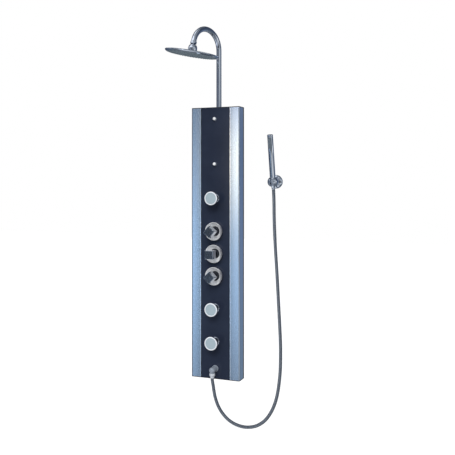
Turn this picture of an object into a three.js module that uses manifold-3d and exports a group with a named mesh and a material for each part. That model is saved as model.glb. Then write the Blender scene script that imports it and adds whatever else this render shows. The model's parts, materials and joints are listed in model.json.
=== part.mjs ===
import * as THREE from "three";
import { mergeVertices } from "three/addons/utils/BufferGeometryUtils.js";
import Module from "manifold-3d";

// A wall-hung shower column. Millimetres: +X right, +Y into the wall, +Z up, the wall is y = 0.
// The origin is the centre of the upper wall bracket's back face.

const wasm = await Module();
wasm.setup();

// ---------- Clearances and sheet sizes ----------
const gap = 0.3; // between pieces that touch
const sheet = 2.5; // profile wall, brackets and crossbars

// ---------- Panel ----------
const panelMidZ = -573; // height of the panel's middle
const panelHeight = 1300;
const panelWidth = 248;
const panelDepth = 62;
const cornerRadius = 5;
const capThickness = 3;
const capPlug = { inner: 82, outer: 118, back: 8, front: 50, length: 12 };
const plateWidth = 147.4;
const plateThickness = 4;
const plateRecess = 0.8; // plate face behind the face of the profiles
const ledgeWidth = 14.8;
const footWidth = 24;
const bodyHalf = panelHeight / 2 - capThickness - gap; // half length of profiles and plate
const plateFront = panelDepth - plateRecess;
const plateBack = plateFront - plateThickness;

// ---------- Heights above the panel's middle ----------
const panelHalf = panelHeight / 2;
const studsFromTop = [56, 272];
const upperJetFromTop = 435.5;
const lowerJetsFromBottom = [339, 180];
const outletFromBottom = 50;
const crossbarFromTop = 55;
const crossbarFromBottom = 115;
const studHeights = studsFromTop.map((distance) => panelHalf - distance);
const lowerJetHeights = lowerJetsFromBottom.map((distance) => distance - panelHalf);
const jetHeights = [panelHalf - upperJetFromTop, ...lowerJetHeights];
const valveHeights = [57, -50, -156.5];
const outletHeight = outletFromBottom - panelHalf;
const inletHeight = -105;
const holderHeight = 293;
const crossbarHeights = [panelHalf - crossbarFromTop, crossbarFromBottom - panelHalf];

// ---------- Round parts ----------
const riserDepth = 15; // riser axis in front of the wall
const riserRadius = 12.5;
const tubeWall = 1.5;
const bendRadius = 90;
const bendAboveTop = 277;
const bendStart = panelHalf + bendAboveTop;
const bendTurn = THREE.MathUtils.degToRad(168);
const armSwing = THREE.MathUtils.degToRad(19); // arm's rest angle, towards -X
const armInsidePanel = 28; // length of the riser below the panel's top
const armBottom = panelHalf - armInsidePanel;
const collarBottom = armBottom - 9;
const feedRadius = 9;
const mixerDepth = 26;
const mixerRadius = 17;
const pipeRadius = 6;
const pipeX = 36;
const pipeDepth = 42;
const cartridgeRadius = 11;
const sleeveRadius = 13;
const spindleRadius = 5;
const escutcheonRadius = 43;
const escutcheonWidth = 19.5; // of the bowl's slope
const escutcheonHeight = 24.5;
const escutcheonFoot = 36.5; // its radius against the plate
const gripSize = 40;
const gripFront = 144;
const gripBack = 105;
const stemRadius = 11.5;
const valveTurns = [40, 0, 45]; // degrees, rest position of each handle
const shankRadius = 13;
const jetBallDepth = 80;
const jetBallRadius = 12;
const jetFaceRadius = 29;
const jetRimDepth = 119; // front of the jet head's rim
const jetFaceBack = 116.6;
const outletPortDepth = 99;
const hoseRadius = 8;
const headRadius = 127;
const headTiltNormal = new THREE.Vector3(0.178, -0.018, 1).normalize();
const headBallRadius = 10;
const ballDrop = 27; // ball centre below the arm's end
const ballAboveRim = 26.5; // ball centre above the head's rim
const holderX = 286;
const cradleDepth = 51;
const cradleRadius = 25.5; // of the ball-shaped cradle
const handsetLean = THREE.MathUtils.degToRad(11.7);
const handsetRadius = 13.3;
const coneTopRadius = 12;
const coneLowRadius = 9.5;
const coneHalf = 14; // half height of the tapered seat

// The hose's middle line, as [x, depth, height] from the outlet's port
const hoseLower = [
  [0, 0, -36],
  [0, 0, -44],
  [2, 0, -56],
  [5.2, -0.5, -74],
  [8.4, -1, -96],
  [15, -2, -128],
  [30, -4, -168],
  [54, -6, -203],
  [86, -7, -230],
  [128, -9, -247],
  [172, -10, -250],
  [217, -12, -238.5],
  [256, -14, -211],
  [287, -15, -168],
  [306.5, -17, -122],
  [318, -19, -75],
  [324.5, -20, -30],
  [329, -22, 23],
  [330, -24, 80],
  [329, -27, 144],
  [325.2, -30, 211],
  [316.8, -37, 325],
];
// and then from the middle of the holder's cradle
const hoseUpper = [
  [20.7, 3, -431],
  [9.4, -5, -293],
  [2.1, -12, -168],
  [0.5, -14.5, -103],
  [0, -13, -70],
  [0, -10.14, -48.96],
  [0, -7.4, -35.74],
];

// Sides of a turned shape
const fineSides = 36;
const mediumSides = 24;
const smallSides = 18;
const hiddenSides = 12;

const group = new THREE.Group();

// ---------- Materials ----------
function finish(color, metalness, roughness) {
  return new THREE.MeshStandardMaterial({ color, metalness, roughness });
}
const chrome = () => finish(0xc8ccd2, 1, 0.12);
const satinChrome = () => finish(0xe4e7ec, 1, 0.35);
const brushedAluminium = () => finish(0x9fb0c8, 1, 0.32);
const blackGlass = () => finish(0x23273a, 0.1, 0.12);
const darkPlastic = () => finish(0x2a2d38, 0, 0.45);
const zincSteel = () => finish(0xa9adb3, 1, 0.42);
const brass = () => finish(0xb89b5e, 1, 0.35);
const copperPipe = () => finish(0xb9bcc0, 1, 0.3);
const nozzlePlastic = () => finish(0xa2b0b8, 0, 0.5);
const greyPlastic = () => finish(0x5b646e, 0, 0.5);
const nylon = () => finish(0xe6e6e0, 0, 0.55);
const braidedSteel = () => finish(0x6f767c, 1, 0.35);

// ---------- Solids ----------
function signedVolume(position, triangles) {
  const a = new THREE.Vector3();
  const b = new THREE.Vector3();
  const c = new THREE.Vector3();
  let total = 0;
  for (let i = 0; i < triangles.length; i += 3) {
    a.fromBufferAttribute(position, triangles[i]);
    b.fromBufferAttribute(position, triangles[i + 1]);
    c.fromBufferAttribute(position, triangles[i + 2]);
    total += a.dot(b.cross(c));
  }
  return total / 6;
}

// A geometry as a manifold solid that faces out, without the empty triangles at a pole.
function toSolid(geometry) {
  const bare = geometry.clone();
  bare.deleteAttribute("normal");
  bare.deleteAttribute("uv");
  const welded = mergeVertices(bare, 1e-4);
  const position = welded.getAttribute("position");
  const index = welded.index.array;
  const triangles = [];
  for (let i = 0; i < index.length; i += 3) {
    const [a, b, c] = [index[i], index[i + 1], index[i + 2]];
    if (a !== b && b !== c && c !== a) {
      triangles.push(a, b, c);
    }
  }
  if (signedVolume(position, triangles) < 0) {
    triangles.reverse();
  }
  return new wasm.Manifold(
    new wasm.Mesh({
      numProp: 3,
      vertProperties: new Float32Array(position.array),
      triVerts: Uint32Array.from(triangles),
    }),
  );
}

function toGeometry(solid) {
  const mesh = solid.getMesh();
  const geometry = new THREE.BufferGeometry();
  const positions = new THREE.BufferAttribute(new Float32Array(mesh.vertProperties), 3);
  geometry.setAttribute("position", positions);
  geometry.setIndex(Array.from(mesh.triVerts));
  geometry.computeVertexNormals();
  return geometry;
}

function join(...geometries) {
  return toGeometry(geometries.map(toSolid).reduce((sum, next) => sum.add(next)));
}

function cut(base, ...tools) {
  return toGeometry(tools.map(toSolid).reduce((rest, tool) => rest.subtract(tool), toSolid(base)));
}

function addNode(name, geometry, material) {
  const mesh = new THREE.Mesh(toGeometry(toSolid(geometry)), material);
  mesh.name = name;
  group.add(mesh);
}

// ---------- Shapes ----------
// A profile of [radius, height] pairs turned about +Z.
function turned(profile, sides = smallSides) {
  const points = profile.map(([radius, height]) => new THREE.Vector2(radius, height));
  return new THREE.LatheGeometry(points, sides).rotateX(Math.PI / 2);
}

// A profile of [radius, depth] pairs turned about the axis that points out of the wall.
function turnedOut(profile, x, height, sides = smallSides) {
  return turned(profile, sides)
    .rotateX(Math.PI / 2)
    .translate(x, 0, panelMidZ + height);
}

// A profile of [radius, height above the panel's middle] pairs turned about a vertical axis.
function turnedUp(profile, x, depth, sides = smallSides) {
  return turned(profile, sides).translate(x, -depth, panelMidZ);
}

// The profile of a plain round bar.
function rod(radius, from, to) {
  return [
    [0, from],
    [radius, from],
    [radius, to],
    [0, to],
  ];
}

// A rod along X between two places, at a depth and a height above the panel's middle.
function crossRod(radius, fromX, toX, depth, height, sides = hiddenSides) {
  return turned(rod(radius, fromX, toX), sides)
    .rotateY(Math.PI / 2)
    .translate(0, -depth, panelMidZ + height);
}

// A box between two corners, given as [x, depth, height above the panel's middle].
function block([x0, depth0, height0], [x1, depth1, height1]) {
  const size = [Math.abs(x1 - x0), Math.abs(depth1 - depth0), Math.abs(height1 - height0)];
  const middle = [(x0 + x1) / 2, -(depth0 + depth1) / 2, panelMidZ + (height0 + height1) / 2];
  return new THREE.BoxGeometry(...size).translate(...middle);
}

function arc(centreX, centreY, radius, fromDegrees, toDegrees, steps) {
  const points = [];
  for (let i = 0; i <= steps; i += 1) {
    const angle = THREE.MathUtils.degToRad(fromDegrees + ((toDegrees - fromDegrees) * i) / steps);
    points.push([centreX + radius * Math.cos(angle), centreY + radius * Math.sin(angle)]);
  }
  return points;
}

// Points of a shallow curve that bulges by sag to the left of the line from start to end.
function bowed(start, end, sag, steps) {
  const along = [end[0] - start[0], end[1] - start[1]];
  const length = Math.hypot(...along);
  const points = [];
  for (let i = 0; i <= steps; i += 1) {
    const t = i / steps;
    const lift = (4 * sag * t * (1 - t)) / length;
    points.push([start[0] + along[0] * t - along[1] * lift, start[1] + along[1] * t + along[0] * lift]);
  }
  return points;
}

function shapeOf(points) {
  return new THREE.Shape(points.map(([x, y]) => new THREE.Vector2(x, y)));
}

function roundHole(x, y, radius, steps = smallSides) {
  const path = new THREE.Path();
  const points = arc(x, y, radius, 0, 360 - 360 / steps, steps - 1);
  path.setFromPoints(points.map(([u, v]) => new THREE.Vector2(u, v)));
  return path;
}

// An outline in X and height, made into a sheet that lies between two depths.
function standingSheet(points, holes, frontDepth, backDepth) {
  const shape = shapeOf(points);
  shape.holes.push(...holes);
  const options = { depth: frontDepth - backDepth, bevelEnabled: false, curveSegments: 12 };
  return new THREE.ExtrudeGeometry(shape, options)
    .rotateX(Math.PI / 2)
    .translate(0, -backDepth, panelMidZ);
}

function rectangle(x0, x1, y0, y1) {
  return [
    [x0, y0],
    [x1, y0],
    [x1, y1],
    [x0, y1],
  ];
}

// A round bar along a curve, or a tube where it has a bore.
function sweep(curve, radius, sides, steps, bore = 0) {
  const section = shapeOf(arc(0, 0, radius, 0, 360 - 360 / sides, sides - 1));
  if (bore > 0) {
    section.holes.push(roundHole(0, 0, bore, sides));
  }
  return new THREE.ExtrudeGeometry(section, { steps, extrudePath: curve, bevelEnabled: false });
}

// ---------- Panel shell ----------
// One side profile's cross-section; side is 1 on the right and -1 on the left.
function profileSection(side) {
  const outer = panelWidth / 2;
  const inner = plateWidth / 2 + gap * 2;
  const ledgeFront = plateBack - gap;
  const round = outer - cornerRadius;
  const points = [
    [outer, 0],
    ...arc(round, -(panelDepth - cornerRadius), cornerRadius, 0, -90, 6),
    [inner + 5.1, -panelDepth],
    [inner + 5.1, -panelDepth + 0.8],
    [inner + 4.1, -panelDepth + 0.8],
    [inner + 4.1, -panelDepth],
    [inner, -panelDepth],
    [inner, -ledgeFront],
    [inner + sheet - ledgeWidth, -ledgeFront],
    [inner + sheet - ledgeWidth, -ledgeFront + sheet],
    [inner + sheet, -ledgeFront + sheet],
    [inner + sheet, -panelDepth + sheet],
    ...arc(round, -(panelDepth - cornerRadius), cornerRadius - sheet, -90, 0, 6),
    [outer - sheet, -sheet],
    [outer - footWidth, -sheet],
    [outer - footWidth, 0],
  ];
  return points.map(([x, y]) => [x * side, y]);
}

function sideProfile(side) {
  const options = { depth: bodyHalf * 2, bevelEnabled: false };
  return new THREE.ExtrudeGeometry(shapeOf(profileSection(side)), options).translate(
    0,
    0,
    panelMidZ - bodyHalf,
  );
}

function frontPlate() {
  const holes = [
    ...studHeights.map((height) => roundHole(0, height, 4.3, hiddenSides)),
    ...jetHeights.map((height) => roundHole(0, height, shankRadius + gap)),
    ...valveHeights.map((height) => roundHole(0, height, sleeveRadius + 2.5)),
    roundHole(0, outletHeight, shankRadius + gap),
  ];
  const outline = rectangle(-plateWidth / 2, plateWidth / 2, -bodyHalf, bodyHalf);
  return standingSheet(outline, holes, plateFront, plateBack);
}

function endCap(direction) {
  const half = panelWidth / 2;
  const round = half - cornerRadius;
  const outline = [
    [half, 0],
    ...arc(round, -(panelDepth - cornerRadius), cornerRadius, 0, -90, 6),
    ...arc(-round, -(panelDepth - cornerRadius), cornerRadius, -90, -180, 6),
    [-half, 0],
  ];
  const shape = shapeOf(outline);
  if (direction > 0) {
    shape.holes.push(roundHole(0, -riserDepth, riserRadius + gap * 2));
  }
  const low = direction > 0 ? bodyHalf + gap : -bodyHalf - gap - capThickness;
  const plate = new THREE.ExtrudeGeometry(shape, { depth: capThickness, bevelEnabled: false });
  plate.translate(0, 0, panelMidZ + low);
  const { inner, outer, back, front, length } = capPlug;
  const face = direction * (bodyHalf + gap + 0.5);
  const tip = direction * (bodyHalf - length);
  const plugs = [-1, 1].map((side) => block([side * inner, back, face], [side * outer, front, tip]));
  return join(plate, ...plugs);
}

addNode("left_profile", sideProfile(-1), brushedAluminium());
addNode("right_profile", sideProfile(1), brushedAluminium());
addNode("front_plate", frontPlate(), blackGlass());
addNode("top_cap", endCap(1), darkPlastic());
addNode("bottom_cap", endCap(-1), darkPlastic());

// ---------- Wall fixing ----------
const crossbarHalf = 17; // half the bar's height
const crossbarBack = sheet + gap;

function crossbar(middle) {
  const reach = panelWidth / 2 - sheet - 3.5;
  const outline = rectangle(-reach, reach, middle - crossbarHalf, middle + crossbarHalf);
  return standingSheet(outline, [], crossbarBack + sheet, crossbarBack);
}

// A plate screwed to the wall, with two hooks that the crossbar drops into.
function wallBracket(barMiddle) {
  const barBottom = barMiddle - crossbarHalf;
  const lipTop = barBottom - gap;
  const hookFront = crossbarBack + sheet + gap + sheet;
  const outline = rectangle(-50, 50, barBottom - 22, barBottom + 12);
  const holes = [-38, 38].map((x) => roundHole(x, barBottom - 14, 2.75, hiddenSides));
  const plate = standingSheet(outline, holes, sheet, 0);
  const hooks = [-1, 1].flatMap((side) => [
    block([side * 25, sheet - 0.5, lipTop - sheet], [side * 50, hookFront, lipTop]),
    block([side * 25, hookFront - sheet, lipTop - 0.5], [side * 50, hookFront, lipTop + 10]),
  ]);
  return join(plate, ...hooks);
}

const places = ["upper", "lower"];
places.forEach((place, i) => {
  addNode(`wall_bracket_${place}`, wallBracket(crossbarHeights[i]), zincSteel());
  addNode(`crossbar_${place}`, crossbar(crossbarHeights[i]), zincSteel());
});

// ---------- Plate brackets and studs ----------
const clampFront = plateBack - gap - sheet - gap; // front of the strap behind the ledges

function plateBracket(height) {
  const outline = rectangle(-73, 73, height - 12, height + 12);
  const hole = roundHole(0, height, 3 + gap, hiddenSides);
  return standingSheet(outline, [hole], clampFront, clampFront - sheet);
}

function stud(height) {
  const back = plateFront + gap;
  const profile = [
    [0, clampFront - sheet - 2],
    [3, clampFront - sheet - 2],
    [3, back],
    [8.5, back],
    [8.5, back + 1.5],
    [7.5, back + 2.5],
    [7.5, back + 11],
    [6.6, back + 13.6],
    [4.4, back + 15.3],
    [0, back + 16],
  ];
  return turnedOut(profile, 0, height);
}

places.forEach((place, i) => {
  addNode(`plate_bracket_${place}`, plateBracket(studHeights[i]), zincSteel());
  addNode(`stud_${place}`, stud(studHeights[i]), satinChrome());
});

// ---------- Mixer, cartridges and pipes ----------
const bossFront = 51;
const mixerTop = 105;
const mixerBottom = -205;
const armRodRadius = 9;
const upperTakeoff = 85;
const lowerTakeoff = -190;

function mixerManifold() {
  const column = turnedUp(rod(mixerRadius, mixerBottom, mixerTop), 0, mixerDepth);
  const riserBoss = turnedUp(rod(12, mixerTop - 25, mixerTop), 0, riserDepth, hiddenSides);
  const bosses = valveHeights.map((height) => turnedOut(rod(16, mixerDepth, bossFront), 0, height));
  const takeoffs = [upperTakeoff, lowerTakeoff].map((height) =>
    crossRod(armRodRadius, 0, pipeX + 9, pipeDepth, height),
  );
  const inlets = crossRod(11, -24, 24, mixerDepth, inletHeight);
  const bores = valveHeights.map((height) =>
    turnedOut(rod(cartridgeRadius + gap, mixerDepth + 1, bossFront + 1), 0, height),
  );
  return cut(join(column, riserBoss, ...bosses, ...takeoffs, inlets), ...bores);
}

function cartridge(height) {
  const back = mixerDepth + 1 + gap;
  const flange = bossFront + gap;
  const front = plateFront + 12.6;
  const profile = [
    [0, back],
    [cartridgeRadius, back],
    [cartridgeRadius, flange],
    [15.5, flange],
    [15.5, flange + 4],
    [sleeveRadius, flange + 4],
    [sleeveRadius, front],
    [spindleRadius + gap, front],
    [spindleRadius + gap, back + 16],
    [0, back + 16],
  ];
  return turnedOut(profile, 0, height);
}

// A flared bowl, open to the front, with a low collar round the handle's stem.
function escutcheon(height) {
  const back = plateFront + gap;
  const bore = sleeveRadius + 0.4;
  const outer = escutcheonRadius;
  const well = outer - escutcheonWidth;
  const rim = back + escutcheonHeight;
  const profile = [
    [escutcheonFoot, back],
    [escutcheonFoot + 1, back + 4],
    [outer - 1, rim - 3.5],
    [outer, rim - 1.2],
    [outer - 0.8, rim],
    ...bowed([outer - 1.8, rim - 0.3], [well, back + 4.5], 1.5, 4),
    [bore + 4, back + 4.5],
    [bore + 4, back + 12],
    [bore, back + 12],
    [bore, back + 2.3],
    [well + 3.5, back + 2.3],
    [outer - 3.4, rim - 7.5],
    [escutcheonFoot - 2.2, back],
    [escutcheonFoot, back],
  ];
  return turnedOut(profile, 0, height, mediumSides);
}

function spindle(height) {
  return turnedOut(rod(spindleRadius, 44, gripBack - 1), 0, height, hiddenSides);
}

// A stem and a square grip with softened edges, turned about its own axis.
function handle(height, degrees) {
  const stem = turned(rod(stemRadius, 75, gripBack + 2)).rotateX(Math.PI / 2);
  const half = gripSize / 2;
  const bevel = 2;
  const square = shapeOf([
    ...arc(half - 5, half - 5, 5 - bevel, 0, 90, 2),
    ...arc(5 - half, half - 5, 5 - bevel, 90, 180, 2),
    ...arc(5 - half, 5 - half, 5 - bevel, 180, 270, 2),
    ...arc(half - 5, 5 - half, 5 - bevel, 270, 360, 2),
  ]);
  const options = {
    depth: gripFront - gripBack - bevel * 2,
    bevelEnabled: true,
    bevelThickness: bevel,
    bevelSize: bevel,
    bevelSegments: 1,
  };
  const grip = new THREE.ExtrudeGeometry(square, options)
    .translate(0, 0, gripBack + bevel)
    .rotateX(Math.PI / 2);
  const bore = turned(rod(spindleRadius + gap, 70, gripBack - 0.7), hiddenSides).rotateX(Math.PI / 2);
  return cut(join(stem, grip), bore)
    .rotateY(THREE.MathUtils.degToRad(degrees))
    .translate(0, 0, panelMidZ + height);
}

// A pipe along X that turns back to the wall and ends in a union nut.
function inlet(side) {
  const points = [
    [24 + gap, mixerDepth],
    [58, mixerDepth],
    ...arc(58, 14, 12, 75, 15, 4),
    [70, 14],
    [70, 9],
  ].map(([x, depth]) => new THREE.Vector3(side * x, -depth, panelMidZ + inletHeight));
  const pipe = sweep(new THREE.CatmullRomCurve3(points, false, "centripetal"), 8, 10, 14);
  const profile = [
    [6, 0],
    [15, 0],
    [15, 12],
    [10, 14],
    [0, 14],
    [0, 7],
    [6, 7],
    [6, 0],
  ];
  const nut = turnedOut(profile, side * 70, inletHeight, hiddenSides);
  return join(pipe, nut);
}

function riserFeedPipe() {
  const bore = feedRadius - tubeWall;
  const [low, high] = [mixerTop + gap, armBottom - 3];
  const profile = [
    [bore, low],
    [feedRadius, low],
    [feedRadius, high],
    [bore, high],
    [bore, low],
  ];
  return turnedUp(profile, 0, riserDepth, hiddenSides);
}

function riserCollar() {
  const top = bodyHalf;
  const profile = [
    [feedRadius + gap, collarBottom],
    [14.4, collarBottom],
    [14.4, top],
    [riserRadius + gap, top],
    [riserRadius + gap, armBottom - gap],
    [feedRadius + gap, armBottom - gap],
    [feedRadius + gap, collarBottom],
  ];
  return turnedUp(profile, 0, riserDepth);
}

function upperJetPipe() {
  const turn = 14;
  const height = jetHeights[0];
  const points = [
    [pipeX, upperTakeoff + armRodRadius + gap * 2],
    [pipeX, height - turn],
    ...arc(pipeX - turn, height - turn, turn, 15, 75, 4),
    [pipeX - turn, height],
    [shankRadius + gap * 2, height],
  ].map(([x, z]) => new THREE.Vector3(x, -pipeDepth, panelMidZ + z));
  return sweep(new THREE.CatmullRomCurve3(points, false, "centripetal"), pipeRadius, 10, 18);
}

function lowerFeedPipe() {
  const top = lowerTakeoff - armRodRadius - gap * 2;
  const main = turnedUp(rod(pipeRadius, outletHeight - pipeRadius, top), pipeX, pipeDepth, hiddenSides);
  const branches = [jetHeights[1], jetHeights[2], outletHeight].map((height) =>
    crossRod(pipeRadius - 0.5, shankRadius + gap * 2, pipeX, pipeDepth, height),
  );
  return join(main, ...branches);
}

addNode("mixer_manifold", mixerManifold(), brass());
addNode("hot_inlet", inlet(-1), copperPipe());
addNode("cold_inlet", inlet(1), copperPipe());
addNode("riser_feed_pipe", riserFeedPipe(), copperPipe());
addNode("riser_collar", riserCollar(), brass());
addNode("jet_pipe_upper", upperJetPipe(), copperPipe());
addNode("jet_pipe_lower", lowerFeedPipe(), copperPipe());
valveHeights.forEach((height, i) => {
  addNode(`cartridge_${i + 1}`, cartridge(height), brass());
  addNode(`escutcheon_${i + 1}`, escutcheon(height), chrome());
  addNode(`spindle_${i + 1}`, spindle(height), zincSteel());
  addNode(`handle_${i + 1}`, handle(height, valveTurns[i]), chrome());
});

// ---------- Body jets ----------
const cupRadius = 16;
const shankBack = 34;

function jetSocket(height) {
  const face = plateFront + gap;
  const cavity = jetBallRadius + gap;
  const profile = [
    [0, shankBack],
    [shankRadius, shankBack],
    [shankRadius, face],
    [21, face],
    [21, face + 2.5],
    [19.5, face + 4],
    [cupRadius, face + 4],
    [cupRadius, jetBallDepth],
    ...arc(0, jetBallDepth, cavity, 0, -70, 4),
    [4, 40],
    [0, 40],
  ];
  return turnedOut(profile, 0, height);
}

function jetRing(height) {
  const cavity = jetBallRadius + 0.4;
  const lip = 10.8;
  const lipAngle = THREE.MathUtils.radToDeg(Math.acos(lip / cavity));
  const profile = [
    [cupRadius + 0.4, 66.6],
    [19, 66.6],
    [19, 84],
    [17.5, 88],
    [16, 88.8],
    [lip, 88.8],
    ...arc(0, jetBallDepth, cavity, lipAngle, 2, 2),
    [cupRadius + 0.4, jetBallDepth + 0.4],
    [cupRadius + 0.4, 66.6],
  ];
  return turnedOut(profile, 0, height);
}

function jetHead(height) {
  const neck = 6;
  const neckAngle = THREE.MathUtils.radToDeg(Math.acos(neck / jetBallRadius));
  const rim = jetFaceRadius + gap;
  const profile = [
    ...arc(0, jetBallDepth, jetBallRadius, -90, neckAngle, 6),
    [neck, 98],
    [9, 101],
    [rim + 1.7, jetRimDepth - 12],
    [rim + 2.7, jetRimDepth - 10],
    [rim + 2.7, jetRimDepth - 1],
    [rim + 1.7, jetRimDepth],
    [rim, jetRimDepth],
    [rim, jetFaceBack - gap],
    [0, jetFaceBack - gap],
  ];
  return turnedOut(profile, 0, height, mediumSides);
}

function jetFace(height) {
  const profile = [
    [0, jetFaceBack],
    [jetFaceRadius, jetFaceBack],
    [jetFaceRadius, jetFaceBack + 2],
    [jetFaceRadius - 3, jetFaceBack + 2.8],
    [0, jetFaceBack + 3.2],
  ];
  return turnedOut(profile, 0, height, mediumSides);
}

jetHeights.forEach((height, i) => {
  addNode(`jet_socket_${i + 1}`, jetSocket(height), chrome());
  addNode(`jet_ring_${i + 1}`, jetRing(height), darkPlastic());
  addNode(`jet_head_${i + 1}`, jetHead(height), chrome());
  addNode(`jet_face_${i + 1}`, jetFace(height), nozzlePlastic());
});

// ---------- Hose outlet and hose ----------
const portEnd = outletHeight - 14;
const ferruleEnd = outletHeight + hoseLower[0][2] + gap;

function outletElbow() {
  const face = plateFront + gap;
  const profile = [
    [0, shankBack],
    [shankRadius, shankBack],
    [shankRadius, face],
    [16, face],
    [16, face + 2.5],
    [15.4, face + 3.4],
    [14, face + 4],
    [14, 103],
    [12.6, 109],
    [8.5, 112.6],
    [0, 114],
  ];
  const body = turnedOut(profile, 0, outletHeight);
  const port = turnedUp(rod(11.5, portEnd, outletHeight), 0, outletPortDepth);
  return join(body, port);
}

function hoseNut() {
  const profile = [
    [0, portEnd - gap],
    [13, portEnd - gap],
    [13.8, portEnd - gap - 1],
    [13.8, portEnd - 10],
    [12.6, portEnd - 12],
    [11.5, portEnd - 12.5],
    [9.6, ferruleEnd + 3],
    [9, ferruleEnd],
    [0, ferruleEnd],
  ];
  return turnedUp(profile, 0, outletPortDepth);
}

function hose() {
  const port = new THREE.Vector3(0, -outletPortDepth, panelMidZ + outletHeight);
  const cradle = new THREE.Vector3(holderX, -cradleDepth, panelMidZ + holderHeight);
  const from = (start, [x, depth, height]) => start.clone().add(new THREE.Vector3(x, -depth, height));
  const points = [
    ...hoseLower.map((offset) => from(port, offset)),
    ...hoseUpper.map((offset) => from(cradle, offset)),
  ];
  return sweep(new THREE.CatmullRomCurve3(points, false, "centripetal"), hoseRadius, 8, 50, hoseRadius - 1);
}

addNode("outlet_elbow", outletElbow(), satinChrome());
addNode("hose_nut_lower", hoseNut(), satinChrome());
addNode("shower_hose", hose(), braidedSteel());

// ---------- Riser arm ----------
// Up from the collar, then round the bend and down.
class ArmCurve extends THREE.Curve {
  getPoint(t, target = new THREE.Vector3()) {
    const straight = bendStart - armBottom;
    const travelled = t * (straight + bendRadius * bendTurn);
    if (travelled <= straight) {
      return target.set(0, -riserDepth, panelMidZ + armBottom + travelled);
    }
    const turn = (travelled - straight) / bendRadius;
    const reach = bendRadius * (1 - Math.cos(turn));
    return target.set(
      -reach * Math.sin(armSwing),
      -riserDepth - reach * Math.cos(armSwing),
      panelMidZ + bendStart + bendRadius * Math.sin(turn),
    );
  }
}

const armCurve = new ArmCurve();
const armEnd = armCurve.getPoint(1);
const armDown = armCurve.getTangent(1).normalize();
const ballCentre = armEnd.clone().addScaledVector(armDown, ballDrop);
const headOrigin = ballCentre.clone().addScaledVector(headTiltNormal, -ballAboveRim);

// Turns a shape's +Z to a direction and moves its origin to a point.
function placed(geometry, direction, origin) {
  const turn = new THREE.Quaternion().setFromUnitVectors(new THREE.Vector3(0, 0, 1), direction);
  return geometry.applyQuaternion(turn).translate(origin.x, origin.y, origin.z);
}

addNode("shower_arm", sweep(armCurve, riserRadius, 14, 32, riserRadius - tubeWall), chrome());

const headUp = armDown.clone().negate();

// The ball adapter: a collar under the tube's end, a thin neck and the ball.
function ballAdapter() {
  const neck = 4.5;
  const neckAngle = THREE.MathUtils.radToDeg(Math.acos(neck / headBallRadius));
  const collar = riserRadius + 2.5;
  const profile = [
    ...arc(0, 0, headBallRadius, -90, neckAngle, 6),
    [neck, headBallRadius + 3],
    [collar - 1.5, headBallRadius + 5.8],
    [collar, headBallRadius + 6.6],
    [collar, ballDrop - 1.3],
    [collar - 1, ballDrop - gap],
    [0, ballDrop - gap],
  ];
  return placed(turned(profile), headUp, ballCentre);
}

function ballSeat() {
  const inner = headBallRadius + gap;
  const outer = inner + 1.3;
  const profile = [...arc(0, 0, outer, -55, -20, 3), ...arc(0, 0, inner, -20, -55, 3)];
  profile.push(profile[0]);
  return placed(turned(profile), headUp, ballCentre);
}

addNode("arm_ball", ballAdapter(), chrome());
addNode("ball_seat", ballSeat(), nylon());

// ---------- Rain head ----------
// Heights are above the rim's plane, along the head's own axis.
const neckRadius = 12;
const neckTop = ballAboveRim - headBallRadius - 1.4;

function bellNut() {
  const cavity = headBallRadius + gap * 2 + 1.3;
  const outer = 21.5;
  const profile = [
    [outer, 8.3],
    [outer, 20],
    [outer - 0.9, ballAboveRim - 1],
    [outer - 2.8, ballAboveRim + 4],
    [outer - 5, ballAboveRim + 8.2],
    [outer - 6.5, ballAboveRim + 10],
    [headBallRadius, ballAboveRim + 10],
    [headBallRadius - 1.4, ballAboveRim + 6.2],
    [headBallRadius + gap, ballAboveRim + 1.6],
    [cavity, ballAboveRim + 1],
    [cavity + 0.5, ballAboveRim - 4],
    [neckRadius + 0.4, ballAboveRim - 8],
    [neckRadius + 0.4, 8.3],
    [outer, 8.3],
  ];
  return placed(turned(profile, mediumSides), headTiltNormal, headOrigin);
}

function headShell() {
  const profile = [
    [4.5, 3.2],
    [4.5, neckTop],
    [neckRadius, neckTop],
    [neckRadius, 8],
    [22.5, 8],
    [24, 6.4],
    [60, 4.4],
    [headRadius - 3, 0.4],
    [headRadius, -1.4],
    [headRadius, -4],
    [headRadius - 2.5, -6.6],
    [headRadius - 8.5, -10.6],
    [headRadius - 11, -10.6],
    [headRadius - 11, -8],
    [headRadius - 4, -4],
    [headRadius - 5, -2],
    [60, 2],
    [4.5, 3.2],
  ];
  return placed(turned(profile, fineSides), headTiltNormal, headOrigin);
}

function headFace() {
  const outer = headRadius - 11 - gap;
  const profile = [[0, -8.2], [outer, -8.2], [outer, -10.6]];
  for (let ring = 0; ring < 2; ring += 1) {
    const radius = outer - 12 - ring * headRadius * 0.36;
    profile.push([radius, -10.9], [radius - 2, -12.6], [radius - 6, -12.6], [radius - 8, -11]);
  }
  profile.push([0, -11.2]);
  return placed(turned(profile, fineSides), headTiltNormal, headOrigin);
}

addNode("bell_nut", bellNut(), chrome());
addNode("head_shell", headShell(), chrome());
addNode("head_face", headFace(), nozzlePlastic());

// ---------- Hand shower and its wall holder ----------
const cradleCentre = new THREE.Vector3(holderX, -cradleDepth, panelMidZ + holderHeight);

// Puts a shape drawn along the hand shower's own axis where the cradle holds it.
function leaned(geometry) {
  return geometry.rotateX(handsetLean).translate(cradleCentre.x, cradleCentre.y, cradleCentre.z);
}

const stemFront = 21;

function holderBase() {
  const profile = [
    [0, 0],
    [32, 0],
    [32, 3],
    [30.5, 7],
    [25, 11],
    [16, 13.5],
    [12.5, 15],
    [11.5, 17.5],
    [11.5, stemFront],
    [0, stemFront],
  ];
  return turnedOut(profile, holderX, holderHeight, mediumSides);
}

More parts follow.
